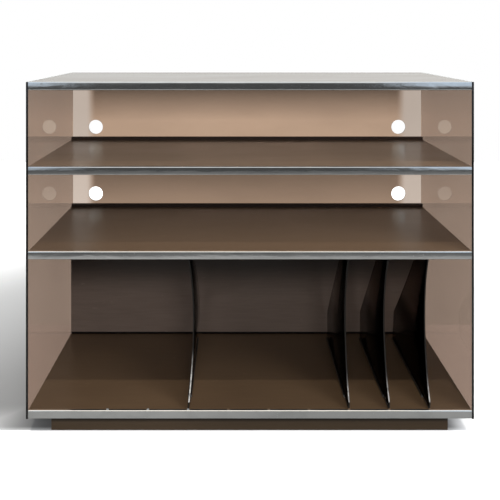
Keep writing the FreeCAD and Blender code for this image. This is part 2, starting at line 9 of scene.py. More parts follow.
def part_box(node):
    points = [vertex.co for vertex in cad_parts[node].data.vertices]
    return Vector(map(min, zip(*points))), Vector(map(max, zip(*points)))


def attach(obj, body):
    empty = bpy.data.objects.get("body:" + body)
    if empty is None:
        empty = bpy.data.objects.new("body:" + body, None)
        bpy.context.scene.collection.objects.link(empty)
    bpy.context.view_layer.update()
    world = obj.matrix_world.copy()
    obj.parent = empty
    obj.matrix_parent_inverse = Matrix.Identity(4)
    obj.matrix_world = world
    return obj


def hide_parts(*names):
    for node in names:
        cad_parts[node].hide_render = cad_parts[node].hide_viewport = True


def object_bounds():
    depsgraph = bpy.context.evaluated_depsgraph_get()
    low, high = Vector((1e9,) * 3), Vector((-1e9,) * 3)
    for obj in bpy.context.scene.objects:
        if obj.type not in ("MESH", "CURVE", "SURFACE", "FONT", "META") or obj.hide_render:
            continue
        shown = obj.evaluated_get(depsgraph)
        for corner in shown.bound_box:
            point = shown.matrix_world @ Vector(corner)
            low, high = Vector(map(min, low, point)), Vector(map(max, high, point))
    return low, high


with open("model.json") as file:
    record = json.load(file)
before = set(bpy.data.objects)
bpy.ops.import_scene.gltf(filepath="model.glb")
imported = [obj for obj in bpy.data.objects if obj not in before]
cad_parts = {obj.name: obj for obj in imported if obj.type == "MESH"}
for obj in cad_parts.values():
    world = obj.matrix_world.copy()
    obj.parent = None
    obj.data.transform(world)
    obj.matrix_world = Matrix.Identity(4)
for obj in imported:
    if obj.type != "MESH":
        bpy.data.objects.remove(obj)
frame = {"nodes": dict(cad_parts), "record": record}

# Looks of the open stereo cabinet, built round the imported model. Metres. +X right, -Y towards
# the user, +Z up, with the origin on the ground under the cabinet's middle.

CAD_BOX = [list(corner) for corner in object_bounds()]
LEFT, RIGHT = CAD_BOX[0][0], CAD_BOX[1][0]
FRONT, REAR = CAD_BOX[0][1], CAD_BOX[1][1]
MM = 0.001


def clear_height(lower, upper):
    """Heights of the floor and the ceiling of the compartment between two boards."""
    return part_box(lower)[1].z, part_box(upper)[0].z


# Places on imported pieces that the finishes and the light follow
RECORD_FLOOR, RECORD_CEILING = clear_height("bottom_board", "lower_shelf")
MIDDLE_FLOOR, MIDDLE_CEILING = clear_height("lower_shelf", "upper_shelf")
TOP_FLOOR, TOP_CEILING = clear_height("upper_shelf", "top_board")
BACK_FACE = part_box("lower_back")[0].y
PLINTH_LOW, PLINTH_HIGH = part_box("plinth_front")

# How far back the bevel of the side panels' front edges reaches
EDGE_END = FRONT + 0.7 * MM

# Heights between which the painted shade on a divider's foot fades out upwards
FOOT_FADE = (RECORD_FLOOR + 121 * MM, RECORD_FLOOR + 171 * MM)

# Heights between which the boards gain gloss
GLOSS_RISE = (RECORD_CEILING - 65 * MM, MIDDLE_CEILING - 14 * MM)

# Each painted shade is the height at which a board starts to darken, the height at which it is
# darkest, and by how much: the shelves downwards, the others upwards
SHELF_SHADE = (MIDDLE_CEILING - 14 * MM, MIDDLE_FLOOR + 6 * MM, 0.24)
BACK_SHADE = (RECORD_FLOOR + 121 * MM, RECORD_FLOOR + 206 * MM, 0.68)
PLINTH_SHADE = (PLINTH_HIGH.z - 33 * MM, PLINTH_HIGH.z - 25 * MM, 0.75)

# Middle and half width of the stretch where the bottom trim's nibs are bare metal
BARE_MIDDLE, BARE_HALF = -0.22, 0.12

# Camera's place to the side of the origin, in front of the cabinet and above the ground
CAMERA_SIDE, CAMERA_DISTANCE, CAMERA_HEIGHT = -0.030, 1.520, 0.900

# Gap between the cabinet and the wall behind it
WALL_GAP = 0.20

# Light on the wall behind the top and the middle compartment: the heights between which it
# changes, and its strengths there. The top one's light starts at BAY_SPLIT.
TOP_BAY_LIGHT = (TOP_FLOOR + 27 * MM, TOP_CEILING - 38 * MM, 0.88, 0.14)
MIDDLE_BAY_LIGHT = (RECORD_CEILING - 25 * MM, MIDDLE_FLOOR + 46 * MM, 0.64, 0.32)
BAY_SPLIT = 0.53

# The made-up room: each line is a range of one part of a ray's direction, and the light's
# strengths at its two ends. The sill is where both windows start, low down. The last line is
# the light that dull surfaces get, and all the others are what gloss mirrors.
ROOM_BEHIND = (-0.60, 0.05, 0.0, 1.12)
ROOM_ABOVE = (0.04, 0.60, 0.10, 1.15)
WINDOW_SILL = (-0.22, 0.04, 0.12, 1.0)
WINDOW_LEFT = (-0.295, -0.205, 0.90, 0.0)
WINDOW_RIGHT = (0.19, 0.28, 0.0, 1.0)
ROOM_AMBIENT = (0.05, 0.60, 0.02, 0.42)

# Screws: radius of the shank, sides round it, rows of faces on the head and the share of the
# head's radius that they cover, share of a dome's height that its face falls towards its rim,
# and the cross recess's half width, reach and depth as shares of the head's radius
SHANK_RADIUS = 2 * MM
SCREW_SIDES = 48
FACE_ROWS, FACE_SHARE = 10, 0.94
DOME_FALL = 0.35
RECESS_SHARES = (0.16, 0.60, 0.38)

# Refraction of the panels' acrylic and of the dividers', and how strongly both absorb light
ACRYLIC_INDEX = 1.49
DIVIDER_INDEX = 1.04
ACRYLIC_DENSITY = 1000.0

# Colours are linear, as the shaders take them
BLACK = (0.0, 0.0, 0.0)
WHITE = (1.0, 1.0, 1.0)
ACRYLIC_BODY = (0.861, 0.811, 0.776)
DIVIDER_BODY = (0.840, 0.815, 0.800)
ACRYLIC_DULL = (0.97, 0.965, 0.96)
EDGE_DARK = (0.010, 0.009, 0.008)
# Painted highlight on the dividers' edges where they face up
EDGE_PAINTED_HIGHLIGHT = (0.42, 0.41, 0.40)
BOARD_BROWN = (0.121, 0.076, 0.043)
BOARD_DARK = (0.092, 0.057, 0.033)
# Painted shadow in the gap at the foot of the lower back
GAP_PAINTED_SHADOW = (0.001, 0.001, 0.001)
BACK_BROWN = (0.160, 0.123, 0.102)
BACK_DARK = (0.120, 0.090, 0.074)
RAIL_BROWN = (0.036, 0.023, 0.018)
PLINTH_BROWN = (0.102, 0.070, 0.043)
SHOE_BLACK = (0.012, 0.011, 0.010)
# Painted highlight on the shoes' front ends
SHOE_PAINTED_HIGHLIGHT = (0.10, 0.10, 0.10)
CHROME = (0.560, 0.572, 0.568)
# Painted highlight on the upper edges of the two lower trims
CHROME_PAINTED_HIGHLIGHT = (0.93, 0.885, 0.79)
STEEL = (0.50, 0.50, 0.49)
BEECH_PALE = (0.52, 0.36, 0.21)
BEECH_DARK = (0.38, 0.24, 0.13)

# The floor as gloss mirrors it, at the left, at the right and far off in front, and then as
# the camera, glass and dull surfaces see it
FLOOR_LEFT = (0.42, 0.42, 0.42)
FLOOR_RIGHT = (0.32, 0.32, 0.32)
FLOOR_FAR = (0.06, 0.06, 0.06)
FLOOR_WHITE = (0.88, 0.90, 0.925)
FLOOR_BEYOND = (0.03, 0.03, 0.03)
FLOOR_DULL = (0.16, 0.16, 0.16)

# The wall's two greys, its light beside and behind the cabinet, and the light of the windows
# that gloss mirrors
WALL_DARK = (0.02, 0.02, 0.02)
WALL_GREY = (0.04, 0.04, 0.04)
WALL_WHITE = (1.0, 1.03, 1.02)
WALL_WARM = (1.0, 0.84, 0.68)
WINDOW_BLUE = (0.80, 0.93, 1.10)


def toned(colour, factor, lift=0.0):
    """A colour made darker or lighter by a factor, and then lighter by a fixed step."""
    return tuple(min(1.0, part * factor + lift) for part in colour)


def with_alpha(colour):
    """A colour with its alpha, as a socket takes it."""
    return (*colour, 1.0)


class Nodes:
    """A node tree with short forms for the nodes that the looks are made of."""

    def __init__(self, tree):
        self.tree = tree

    def add(self, kind, **settings):
        """A new node with some of its own settings."""
        node = self.tree.nodes.new(kind)
        for name, value in settings.items():
            setattr(node, name, value)
        return node

    def link(self, source, target):
        """Joins an output to an input."""
        self.tree.links.new(source, target)

    def combine(self, operation, first, second):
        """Arithmetic on two outputs or numbers, or a comparison of them."""
        node = self.add("ShaderNodeMath", operation=operation)
        for index, item in enumerate((first, second)):
            if isinstance(item, (int, float)):
                node.inputs[index].default_value = item
            else:
                self.link(item, node.inputs[index])
        return node.outputs["Value"]

    def product(self, first, *others):
        """Numbers multiplied together."""
        for item in others:
            first = self.combine("MULTIPLY", first, item)
        return first

    def highest(self, first, *others):
        """The highest of some numbers."""
        for item in others:
            first = self.combine("MAXIMUM", first, item)
        return first

    def rest(self, share):
        """What is left of 1 beside a share."""
        return self.combine("SUBTRACT", 1.0, share)

    def unsigned(self, number):
        """A number without its sign."""
        return self.combine("ABSOLUTE", number, 0.0)

    def remap(self, source, low, high, start, end, smooth=False):
        """Carries the range low to high of a number to the range start to end."""
        node = self.add("ShaderNodeMapRange",
                        interpolation_type="SMOOTHSTEP" if smooth else "LINEAR")
        for name, value in (("From Min", low), ("From Max", high),
                            ("To Min", start), ("To Max", end)):
            node.inputs[name].default_value = value
        self.link(source, node.inputs["Value"])
        return node.outputs["Result"]

    def blend(self, factor, first, second):
        """Mixes two colours, each a fixed colour or another node's output."""
        node = self.add("ShaderNodeMix", data_type="RGBA")
        self.link(factor, node.inputs["Factor"])
        for name, colour in (("A", first), ("B", second)):
            socket = next(item for item in node.inputs if item.name == name
                          and item.type == "RGBA")
            if isinstance(colour, tuple):
                socket.default_value = with_alpha(colour)
            else:
                self.link(colour, socket)
        return next(item for item in node.outputs if item.type == "RGBA")

    def light_path(self):
        """The outputs that tell what kind of ray looks, and a number that is 1 on a ray that
        no dull surface has scattered before."""
        path = self.add("ShaderNodeLightPath").outputs
        return path, self.combine("LESS_THAN", path["Diffuse Depth"], 0.5)

    def normal(self):
        """The X, Y and Z of the surface's direction."""
        return self.parts(self.add("ShaderNodeNewGeometry").outputs["Normal"])

    def parts(self, vector):
        """The X, Y and Z of a vector."""
        split = self.add("ShaderNodeSeparateXYZ")
        self.link(vector, split.inputs["Vector"])
        return [split.outputs[axis] for axis in "XYZ"]


class Surface(Nodes):
    """A material under construction, with its shader and the place that textures follow."""

    def __init__(self, name, **sockets):
        self.material = bpy.data.materials.new(name)
        self.material.use_nodes = True
        super().__init__(self.material.node_tree)
        self.shader = self.tree.nodes["Principled BSDF"]
        for socket, value in sockets.items():
            self.shader.inputs[socket.replace("_", " ")].default_value = value
        self.place = self.add("ShaderNodeTexCoord").outputs["Object"]

    def noise(self, scale, detail=4.0, roughness=0.55, stretch=(1, 1, 1), distortion=0.0):
        """Noise with the given number of cells in a metre. stretch multiplies the place on
        each axis, to draw the cells out along one."""
        mapping = self.add("ShaderNodeMapping")
        mapping.inputs["Scale"].default_value = stretch
        self.link(self.place, mapping.inputs["Vector"])
        node = self.add("ShaderNodeTexNoise")
        for name, value in (("Scale", scale), ("Detail", detail), ("Roughness", roughness),
                            ("Distortion", distortion)):
            node.inputs[name].default_value = value
        self.link(mapping.outputs["Vector"], node.inputs["Vector"])
        return node.outputs["Fac"]

    def bump(self, height, distance, strength=1.0):
        """Raises the surface by a height map, in metres."""
        node = self.add("ShaderNodeBump")
        node.inputs["Distance"].default_value = distance
        node.inputs["Strength"].default_value = strength
        self.link(height, node.inputs["Height"])
        self.link(node.outputs["Normal"], self.shader.inputs["Normal"])

    def drive(self, socket, source):
        """Feeds a socket of the shader from a node."""
        self.link(source, self.shader.inputs[socket])


def smoked_acrylic(name, index, body_colour, foot):
    """Polished bronze acrylic that darkens with the length of the light's way through it,
    and has a painted shade that makes it near black along the side panels' front edges. index
    is its refraction: a low one makes it darker and less of a mirror at a slant. foot is how
    much light its faces let through low down, next to 1 further up, a painted shade."""
    surface = Surface(name, Transmission_Weight=1.0, IOR=index)
    smears = surface.noise(7.0, detail=5.0, stretch=(1, 1, 0.6), distortion=0.8)
    dust = surface.noise(900.0, detail=2.0)
    specks = surface.remap(dust, 0.70, 0.80, 0.0, 0.12)
    haze = surface.remap(smears, 0.35, 0.80, 0.012, 0.060)
    surface.drive("Roughness", surface.combine("ADD", haze, specks))
    tint = surface.remap(surface.noise(3.0, detail=3.0), 0.30, 0.70, 0.0, 1.0)
    clear = surface.blend(tint, ACRYLIC_DULL, WHITE)
    _, along, up = surface.parts(surface.place)
    # Painted shade: darker low down on the dividers and near black along the side panels' front
    # edges
    lit = surface.product(surface.remap(up, *FOOT_FADE, foot, 1.0, smooth=True),
                          surface.remap(along, EDGE_END, EDGE_END + 0.5 * MM, 0.1, 1.0))
    surface.drive("Base Color", surface.blend(lit, BLACK, clear))
    surface.bump(surface.noise(16.0, detail=1.0), 0.03 * MM)
    body = surface.add("ShaderNodeVolumeAbsorption")
    body.inputs["Color"].default_value = with_alpha(body_colour)
    body.inputs["Density"].default_value = ACRYLIC_DENSITY
    surface.link(body.outputs["Volume"], surface.tree.nodes["Material Output"].inputs["Volume"])
    return surface.material


def polished_edge():
    """Polished edge of a dark acrylic sheet, with fine marks across it. It is near black, but
    where it faces up it has a painted highlight, on the bent sheet at the left further up than
    on the others."""
    surface = Surface("polished_edge", Specular_IOR_Level=0.2)
    marks = surface.noise(1400.0, detail=2.0, stretch=(0.05, 1, 1))
    chips = surface.remap(surface.noise(120.0, detail=5.0), 0.45, 0.70, 1.0, 0.25)
    # Painted highlight where the edge faces up, reaching further up on the bent sheet at the left
    bent = surface.remap(surface.parts(surface.place)[0], -0.2, 0.2, 0.20, 0.0)
    upward = surface.remap(surface.combine("ADD", surface.normal()[2], bent),
                           0.40, 0.66, 0.0, 1.0, smooth=True)
    glow = surface.product(upward, chips)
    surface.drive("Base Color", surface.blend(glow, EDGE_DARK, EDGE_PAINTED_HIGHLIGHT))
    surface.drive("Roughness", surface.remap(marks, 0.3, 0.7, 0.12, 0.24))
    surface.bump(marks, 0.05 * MM)
    return surface.material


def shade_board(surface, brown, shade):
    """A board's colour with painted shade: darker at some heights, as shade says, darker in the
    right half of the record compartment, and near black as a painted shadow in the gap at the
    foot of the lower back."""
    across, along, up = surface.parts(surface.place)
    # Painted shade by height
    by_height = surface.remap(up, *shade[:2], 0.0, shade[2], smooth=True)
    shaded = surface.blend(by_height, brown, BLACK)
    # Painted shade, darker towards the right of the record compartment
    in_record_bay = surface.remap(up, RECORD_CEILING, RECORD_CEILING + 10 * MM, 1.0, 0.0)
    right_half = surface.remap(across, -0.20, 0.0, 0.0, 0.20, smooth=True)
    shaded = surface.blend(surface.product(in_record_bay, right_half), shaded, BLACK)
    # Painted shadow in the gap at the foot of the lower back
    gap_top = RECORD_FLOOR + 5 * MM
    in_gap = surface.product(
        surface.remap(along, BACK_FACE - 2.5 * MM, BACK_FACE - 1 * MM, 0.0, 0.97),
        surface.remap(up, gap_top, gap_top + 0.6 * MM, 1.0, 0.0))
    return surface.blend(in_gap, shaded, GAP_PAINTED_SHADOW)


def lacquered_board(name, light, dark, roughness, coat, shade):
    """Satin brown lacquer over board, with faint mottling, fine pores and light wear. coat is
    the strength of the gloss, or two strengths between which it grows with the height, and
    shade is one of the painted shades above."""
    surface = Surface(name, Coat_Roughness=0.20, Specular_IOR_Level=0.30)
    clouds = surface.noise(5.0, detail=6.0, stretch=(0.45, 1, 1), distortion=0.4)
    fibres = surface.noise(240.0, detail=3.0, stretch=(0.06, 1, 1))
    tone = surface.combine("ADD", surface.remap(clouds, 0.30, 0.72, 0.0, 0.65),
                           surface.remap(fibres, 0.35, 0.65, 0.0, 0.35))
    scuffs = surface.remap(surface.noise(60.0, detail=8.0, stretch=(0.5, 1, 1)),
                           0.66, 0.78, 0.0, 0.30)
    brown = surface.blend(scuffs, surface.blend(tone, dark, light), toned(light, 1.9, 0.02))
    surface.drive("Base Color", shade_board(surface, brown, shade))
    if isinstance(coat, tuple):
        _, _, up = surface.parts(surface.place)
        surface.drive("Coat Weight", surface.remap(up, *GLOSS_RISE, *coat))
    else:
        surface.shader.inputs["Coat Weight"].default_value = coat
    patches = surface.remap(clouds, 0.30, 0.75, roughness - 0.05, roughness + 0.07)
    surface.drive("Roughness", patches)
    grain = surface.combine("ADD", surface.noise(700.0, detail=3.0, stretch=(0.5, 1, 1)),
                            surface.product(fibres, 0.6))
    surface.bump(grain, 0.035 * MM, strength=0.6)
    return surface.material


def colour_trims(surface, plated):
    """Colours the plated trims. The upper edges of the two lower ones get a painted highlight,
    and most nibs on the bottom one's upper edge are brown, with a few bare ones at the left."""
    across, _, up = surface.parts(surface.place)
    # Painted highlight where the two lower trims face up
    upward = surface.remap(surface.normal()[2], 0.25, 0.65, 0.0, 1.0, smooth=True)
    is_low = surface.combine("LESS_THAN", up, (MIDDLE_FLOOR + MIDDLE_CEILING) / 2)
    painted_highlight = surface.blend(surface.product(is_low, upward), plated, CHROME_PAINTED_HIGHLIGHT)
    on_nib = surface.product(
        surface.remap(up, RECORD_FLOOR, RECORD_FLOOR + 0.3 * MM, 0.0, 1.0),
        surface.combine("LESS_THAN", up, RECORD_FLOOR + 11 * MM))
    aside = surface.unsigned(surface.combine("SUBTRACT", across, BARE_MIDDLE))
    brown = surface.product(on_nib, surface.combine("GREATER_THAN", aside, BARE_HALF))
    surface.drive("Base Color", surface.blend(brown, painted_highlight, BOARD_DARK))
    surface.drive("Metallic", surface.rest(brown))


def polished_metal(name, colour, roughness, streak, wave, is_trim):
    """Plated metal with fine drawing lines along its length, a few dull patches and an
    uneven surface with long and short waves. streak is how much rougher the lines are than
    the rest, and wave the waves' height in millimetres. is_trim colours it as on the trims."""
    surface = Surface(name)
    lines = surface.noise(2600.0, detail=2.0, stretch=(0.006, 1, 1))
    dull = surface.noise(26.0, detail=7.0, stretch=(0.7, 1, 1), distortion=0.6)
    spots = surface.remap(surface.noise(480.0, detail=2.0), 0.70, 0.78, 0.0, 0.25)
    rough = surface.combine("ADD", surface.remap(lines, 0.30, 0.70, 0.0, streak),
                            surface.remap(dull, 0.35, 0.75, roughness, roughness + 0.10))
    surface.drive("Roughness", surface.combine("ADD", rough, spots))
    plated = surface.blend(surface.remap(dull, 0.45, 0.80, 0.0, 0.6), colour, toned(colour, 0.72))
    if is_trim:
        colour_trims(surface, plated)
    else:
        surface.drive("Base Color", plated)
        surface.shader.inputs["Metallic"].default_value = 1.0
    long_waves = surface.noise(30.0, detail=2.0, stretch=(0.22, 1, 1), distortion=0.6)
    dents = surface.noise(90.0, detail=2.0, stretch=(0.30, 1, 1), distortion=0.8)
    waves = surface.combine("ADD", long_waves, surface.product(dents, 0.25))
    surface.bump(surface.combine("ADD", waves, surface.product(lines, 0.02)), wave * MM)
    return surface.material


def moulded_plastic():
    """Satin black plastic with a fine moulded grain, with a painted highlight that makes the end
    facing the front greyer.
    """
    surface = Surface("black_shoe", Specular_IOR_Level=0.5)
    grain = surface.noise(2200.0, detail=2.0)
    wear = surface.remap(surface.noise(90.0, detail=5.0), 0.55, 0.75, 0.0, 1.0)
    worn = surface.blend(wear, SHOE_BLACK, toned(SHOE_BLACK, 2.6, 0.004))
    # Painted highlight on the end that faces the front
    painted_front_highlight = surface.remap(surface.normal()[1], -0.98, -0.80, 1.0, 0.0)
    surface.drive("Base Color", surface.blend(painted_front_highlight, worn, SHOE_PAINTED_HIGHLIGHT))
    surface.drive("Roughness", surface.remap(grain, 0.3, 0.7, 0.30, 0.44))
    surface.bump(grain, 0.04 * MM)
    return surface.material


def beech():
    """Plain planed beech with long fibres and short dark flecks."""
    surface = Surface("raw_wood", Specular_IOR_Level=0.3)
    fibres = surface.noise(150.0, detail=5.0, stretch=(0.12, 1, 1), distortion=0.5)
    flecks = surface.remap(surface.noise(900.0, detail=1.0, stretch=(0.12, 1, 1)),
                           0.64, 0.70, 0.0, 1.0)
    wood = surface.blend(surface.remap(fibres, 0.3, 0.7, 0.0, 1.0), BEECH_DARK, BEECH_PALE)
    surface.drive("Base Color", surface.blend(flecks, wood, BEECH_DARK))
    surface.drive("Roughness", surface.remap(fibres, 0.3, 0.7, 0.5, 0.68))
    surface.bump(fibres, 0.15 * MM)
    return surface.material


MATERIALS = {
    "smoked_acrylic": smoked_acrylic("smoked_acrylic", ACRYLIC_INDEX, ACRYLIC_BODY, foot=1.0),
    "brown_board": lacquered_board("brown_board", BOARD_BROWN, BOARD_DARK, roughness=0.36,
                                   coat=(0.12, 0.47), shade=SHELF_SHADE),
    "dark_rail": lacquered_board("dark_rail", RAIL_BROWN, toned(RAIL_BROWN, 0.7),
                                 roughness=0.45, coat=0.0, shade=SHELF_SHADE),
    "plinth_brown": lacquered_board("plinth_brown", PLINTH_BROWN, toned(PLINTH_BROWN, 0.8),
                                    roughness=0.42, coat=0.05, shade=PLINTH_SHADE),
    "chrome_trim": polished_metal("chrome_trim", CHROME, roughness=0.04, streak=0.05, wave=0.9,
                                  is_trim=True),
    "screw_steel": polished_metal("screw_steel", STEEL, roughness=0.22, streak=0.10, wave=0.02,
                                  is_trim=False),
    "black_shoe": moulded_plastic(),
    "raw_wood": beech(),
}
BACK_FINISH = lacquered_board("back_board", BACK_BROWN, BACK_DARK, roughness=0.40, coat=0.06,
                              shade=BACK_SHADE)
DIVIDER_FINISH = smoked_acrylic("divider_acrylic", DIVIDER_INDEX, DIVIDER_BODY, foot=0.30)
EDGE_FINISH = polished_edge()


def dress(item, slot):
    """Gives an object the material of one of the record's slots."""
    item.data.materials.clear()
    item.data.materials.append(MATERIALS[slot])


def dress_cad_nodes():
    """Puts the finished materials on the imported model's own pieces. The lower back's lacquer
    is greyer than the boards'."""
    for part in frame["record"]["subparts"]:
        dress(frame["nodes"][part["node"]], part["material_slot"])
    frame["nodes"]["lower_back"].data.materials[0] = BACK_FINISH


def finish_piece(item, replaced):
    """Makes a dressed piece ride with the cabinet in place of the node that it stands for."""
    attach(item, "root")
    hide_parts(replaced)


def smooth_by_angle(mesh, degrees):
    """Smooth shading with sharp creases above an angle."""
    mesh.polygons.foreach_set("use_smooth", [True] * len(mesh.polygons))
    mesh.set_sharp_from_angle(angle=math.radians(degrees))


def new_item(name, data):
    """An object in the scene that holds a mesh, a lamp or a camera."""
    item = bpy.data.objects.new(name, data)
    bpy.context.scene.collection.objects.link(item)
    return item


def new_mesh_item(name, shape):
    """An object from a finished bmesh, which is freed."""
    mesh = bpy.data.meshes.new(name)
    shape.to_mesh(mesh)
    shape.free()
    return new_item(name, mesh)


def eased_copy(node, name, width):
    """A copy of a CAD node with its sharp edges rounded over by a width."""
    shape = bmesh.new()
    shape.from_mesh(frame["nodes"][node].data)
    bmesh.ops.remove_doubles(shape, verts=shape.verts, dist=0.01 * MM)
    bmesh.ops.dissolve_limit(shape, angle_limit=math.radians(0.3), verts=shape.verts,
                             edges=shape.edges)
    sharp = [edge for edge in shape.edges
             if len(edge.link_faces) == 2 and edge.calc_face_angle() > math.radians(30)]
    bmesh.ops.bevel(shape, geom=sharp, offset=width, offset_type="OFFSET", segments=3,
                    profile=0.5, affect="EDGES", clamp_overlap=True)
    bmesh.ops.triangulate(shape, faces=[face for face in shape.faces if len(face.verts) > 4])
    return new_mesh_item(name, shape)


def nodes_starting(start):
    """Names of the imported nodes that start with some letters, in order."""
    return sorted(name for name in frame["nodes"] if name.startswith(start))


def record_dividers():
    """Divider sheets with eased, polished edges in place of the plain ones. A sheet's two
    faces look sideways, along X, and all the others belong to its edges."""
    for node in nodes_starting("divider_"):
        item = eased_copy(node, f"{node}_sheet", width=0.35 * MM)
        item.data.materials.append(DIVIDER_FINISH)
        item.data.materials.append(EDGE_FINISH)
        for face in item.data.polygons:
            face.material_index = 1 if abs(face.normal.x) < 0.8 else 0
        smooth_by_angle(item.data, 25)
        finish_piece(item, node)


def divider_shoes():
    """Moulded shoes with rounded edges in place of the plain ones."""
    for node in nodes_starting("shoe_"):
        item = eased_copy(node, f"{node}_moulded", width=0.4 * MM)
        dress(item, "black_shoe")
        smooth_by_angle(item.data, 25)
        finish_piece(item, node)


def box_round(places):
    """Lowest and highest corner of the box round some places."""
    return tuple(Vector([pick(place[axis] for place in places) for axis in range(3)])
                 for pick in (min, max))


def islands(node):
    """Boxes of the separate solids in a CAD node, as (lowest corner, highest corner)."""
    shape = bmesh.new()
    shape.from_mesh(frame["nodes"][node].data)
    bmesh.ops.remove_doubles(shape, verts=shape.verts, dist=0.01 * MM)
    left = set(shape.verts)
    boxes = []
    while left:
        group = [left.pop()]
        for vert in group:
            for edge in vert.link_edges:
                other = edge.other_vert(vert)
                if other in left:
                    left.remove(other)
                    group.append(other)
        boxes.append(box_round([vert.co for vert in group]))
    shape.free()
    return sorted(boxes, key=lambda box: tuple(round(part, 4) for part in box[0]))


def add_screw(shape, matrix, head_radius, crown, cone, length):
    """Adds a screw to a bmesh. Unplaced, it runs down from the head's seat at zero: crown is
    the height of a domed head above it, cone the depth of a sunk head below it."""
    slot_half, slot_reach, slot_depth = (head_radius * share for share in RECESS_SHARES)
    turns = [2 * math.pi * k / SCREW_SIDES for k in range(SCREW_SIDES)]

    def ring(radius, height):
        return [shape.verts.new(matrix @ Vector((radius * math.cos(turn),
                                                 radius * math.sin(turn), height(turn))))
                for turn in turns]

    def face_height(radius):
        dome = crown * (1 - DOME_FALL * (radius / head_radius) ** 2)

        def height(turn):
            nearest = radius * min(abs(math.cos(turn)), abs(math.sin(turn)))
            sunk = nearest < slot_half and radius < slot_reach
            return dome - (slot_depth if sunk else 0.0)
        return height

    radii = [head_radius * FACE_SHARE * k / FACE_ROWS for k in range(1, FACE_ROWS + 1)]
    rows = [ring(radius, face_height(radius)) for radius in radii]
    # The rim is below a dome's face, and just below a sunk head's
    rim = crown * 0.45 - cone * 0.04
    point = SHANK_RADIUS * 2 - length
    profile = [(head_radius, rim), (SHANK_RADIUS, -cone), (SHANK_RADIUS, point),
               (SHANK_RADIUS * 0.1, -length)]
    # A domed head has an upright side down to its seat
    if crown:
        profile.insert(1, (head_radius, 0.0))
    rows += [ring(radius, lambda turn, level=level: level) for radius, level in profile]
    middle = shape.verts.new(matrix @ Vector((0, 0, crown - slot_depth)))
    for turn in range(SCREW_SIDES):
        following = (turn + 1) % SCREW_SIDES
        shape.faces.new((middle, rows[0][turn], rows[0][following]))
        for lower, upper in zip(rows, rows[1:]):
            shape.faces.new((lower[turn], upper[turn], upper[following], lower[following]))
    shape.faces.new(list(reversed(rows[-1])))


def cross_screws(node, name, axis, head_end, crown, cone):
    """Screws with cross recesses in place of a node's plain ones, turned by different
    amounts. axis is the direction along them, and head_end is 1 where their heads are at its
    far end."""
    shape = bmesh.new()
    across = (axis + 1) % 3
    for k, (low, high) in enumerate(islands(node)):
        seat = (low + high) / 2
        seat[axis] = high[axis] - crown if head_end > 0 else low[axis] + crown
        length = high[axis] - low[axis] - crown
        aim = Vector([head_end if index == axis else 0 for index in range(3)])
        facing = aim.to_track_quat("Z", "Y").to_matrix().to_4x4()
        turned = Matrix.Rotation(math.radians(37 * k), 4, "Z")
        head_radius = (high[across] - low[across]) / 2
        matrix = Matrix.Translation(seat) @ facing @ turned
        add_screw(shape, matrix, head_radius, crown, cone, length)
    bmesh.ops.recalc_face_normals(shape, faces=shape.faces)
    item = new_mesh_item(name, shape)
    smooth_by_angle(item.data, 35)
    dress(item, "screw_steel")
    finish_piece(item, node)


def make_camera():
    """Level camera a little above the cabinet's top, square to its front. Its shifts put the
    cabinet where the photograph has it."""
    data = bpy.data.cameras.new("camera")
    camera = new_item("camera", data)
    camera.location = (CAMERA_SIDE, FRONT - CAMERA_DISTANCE, CAMERA_HEIGHT)
    camera.rotation_euler = (math.radians(90), 0, 0)
    data.sensor_width = 36.0
    data.lens = 49.07
    data.shift_x = 0.027
    data.shift_y = -0.4240
    data.clip_start = 0.05
    data.clip_end = 60.0
    bpy.context.scene.camera = camera


def add_lamp(name, kind, place, target, power, colour, **settings):
    """A lamp at a place that points at a target. Its own shape isn't mirrored in gloss."""
    data = bpy.data.lights.new(name, kind)
    data.energy = power
    data.color = colour
    for setting, value in settings.items():
        setattr(data, setting, value)
    lamp = new_item(name, data)
    lamp.location = place
    lamp.rotation_euler = (Vector(target) - Vector(place)).to_track_quat("-Z", "Y").to_euler()
    lamp.visible_glossy = False


def from_bearing(azimuth, elevation, distance):
    """A place seen from the cabinet; azimuth is to the right of its front, in degrees."""
    side, rise = math.radians(azimuth), math.radians(elevation)
    return Vector((math.sin(side) * math.cos(rise), -math.cos(side) * math.cos(rise),
                   math.sin(rise))) * distance


def make_lights():
    """A slightly warm key from high in front, a large soft lamp from the right and one from
    lower in front that reaches the back of the record compartment."""
    middle = (0, 0, 0.3)
    add_lamp("key", "SUN", from_bearing(azimuth=4, elevation=68, distance=5), (0, 0, 0),
             power=1.15, colour=(1.0, 0.96, 0.88), angle=math.radians(1.2))
    add_lamp("soft_right", "AREA", from_bearing(azimuth=50, elevation=38, distance=3.4), middle,
             power=78.0, colour=WHITE, shape="RECTANGLE", size=1.5, size_y=1.2)
    add_lamp("soft_front", "AREA", from_bearing(azimuth=2, elevation=29.5, distance=3.2), middle,
             power=44.0, colour=(1.0, 0.98, 0.97), shape="RECTANGLE", size=1.2, size_y=0.65)


